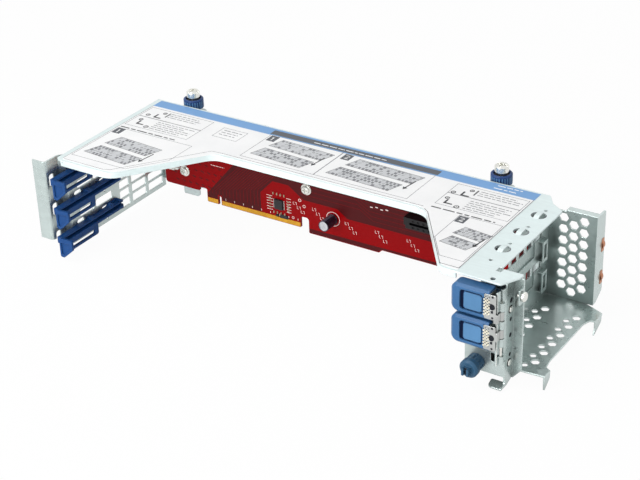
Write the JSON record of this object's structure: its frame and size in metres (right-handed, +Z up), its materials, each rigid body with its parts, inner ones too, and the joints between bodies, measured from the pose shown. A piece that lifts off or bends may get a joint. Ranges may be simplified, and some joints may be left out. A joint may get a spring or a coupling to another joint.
{
  "type": "server riser",
  "caption": "Sheet-metal server riser cage with a red edge-connector board, slot sockets, grilled end panel, card guides, latching levers and captive thumbscrews.",
  "frame": {"origin": "bottom centre of the bounding box", "axes": "+X along the length from the card guide end to the slot end, +Y towards the back wall, +Z up"},
  "size_m": [0.3612, 0.1392, 0.0796],
  "materials": {
    "plate_steel": "zinc-plated sheet steel, satin",
    "panel_steel": "galvanised sheet steel, satin",
    "label_film": "printed polyester film with a light blue band",
    "guide_plastic": "dark blue moulded nylon",
    "lever_plastic": "blue moulded plastic",
    "board": "red solder mask over glass fibre laminate",
    "contact_gold": "gold plate",
    "socket_plastic": "black moulded plastic",
    "capacitor_can": "aluminium can",
    "chip_plastic": "black epoxy",
    "chip_part": "ceramic chips with tinned ends",
    "bright_steel": "nickel-plated steel",
    "spring_steel": "spring steel",
    "clip_plastic": "white moulded plastic",
    "copper": "beryllium copper"
  },
  "bodies": {
    "cage": {"top_sheet": "plate_steel", "label_film": "label_film", "left_panel": "panel_steel", "card_guide_upper": "guide_plastic", "card_guide_middle": "guide_plastic", "card_guide_lower": "guide_plastic", "slot_frame": "panel_steel", "vent_panel": "panel_steel", "spring_fingers": "copper", "slot_cover_upper": "panel_steel", "slot_cover_lower": "panel_steel", "riser_board": "board", "edge_contacts": "contact_gold", "slot_socket_upper": "socket_plastic", "slot_socket_lower": "socket_plastic", "capacitor": "capacitor_can", "regulator_chip": "chip_plastic", "chip_parts": "chip_part", "board_screws": "bright_steel", "board_spacers": "bright_steel", "board_clip": "clip_plastic", "hinge_plate": "panel_steel", "hinge_pin": "bright_steel", "post_stud": "bright_steel", "post_rivets": "bright_steel", "panel_rivets": "bright_steel", "thumb_ferrule_left": "bright_steel", "thumb_ferrule_right": "bright_steel"},
    "lever_upper": {"lever_upper": "lever_plastic", "lever_fitting_upper": "spring_steel"},
    "lever_lower": {"lever_lower": "lever_plastic", "lever_fitting_lower": "spring_steel"},
    "front_knob": {"front_knob": "lever_plastic", "front_knob_screw": "bright_steel"},
    "thumb_spring_left": {"thumb_spring_left": "spring_steel"},
    "thumb_screw_left": {"thumb_collar_left": "lever_plastic", "thumb_screw_left": "bright_steel"},
    "thumb_spring_right": {"thumb_spring_right": "spring_steel"},
    "thumb_screw_right": {"thumb_collar_right": "lever_plastic", "thumb_screw_right": "bright_steel"}
  },
  "joints": [
    {"name": "lever_upper_hinge", "type": "hinge", "parent": "cage", "child": "lever_upper", "pos_m": [0.15935, -0.05842, 0.059], "axis": [0, 0, 1], "range_deg": [0, 95]},
    {"name": "lever_lower_hinge", "type": "hinge", "parent": "cage", "child": "lever_lower", "pos_m": [0.15935, -0.05842, 0.038], "axis": [0, 0, 1], "range_deg": [0, 95]},
    {"name": "front_knob_spin", "type": "hinge", "parent": "cage", "child": "front_knob", "pos_m": [0.14255, -0.05992, 0.0142], "axis": [0, 1, 0], "continuous": true},
    {"name": "thumb_push_left", "type": "slide", "parent": "cage", "child": "thumb_spring_left", "axis": [0, 0, 1], "range_m": [-0.0035, 0], "stiffness_N_per_m": 400, "springref_m": 0.002, "deforming": ["thumb_spring_left"]},
    {"name": "thumb_spin_left", "type": "hinge", "parent": "thumb_spring_left", "child": "thumb_screw_left", "pos_m": [-0.14365, 0.06157, 0.071], "axis": [0, 0, 1], "continuous": true},
    {"name": "thumb_push_right", "type": "slide", "parent": "cage", "child": "thumb_spring_right", "axis": [0, 0, 1], "range_m": [-0.0035, 0], "stiffness_N_per_m": 400, "springref_m": 0.002, "deforming": ["thumb_spring_right"]},
    {"name": "thumb_spin_right", "type": "hinge", "parent": "thumb_spring_right", "child": "thumb_screw_right", "pos_m": [0.09735, 0.06157, 0.071], "axis": [0, 0, 1], "continuous": true}
  ]
}
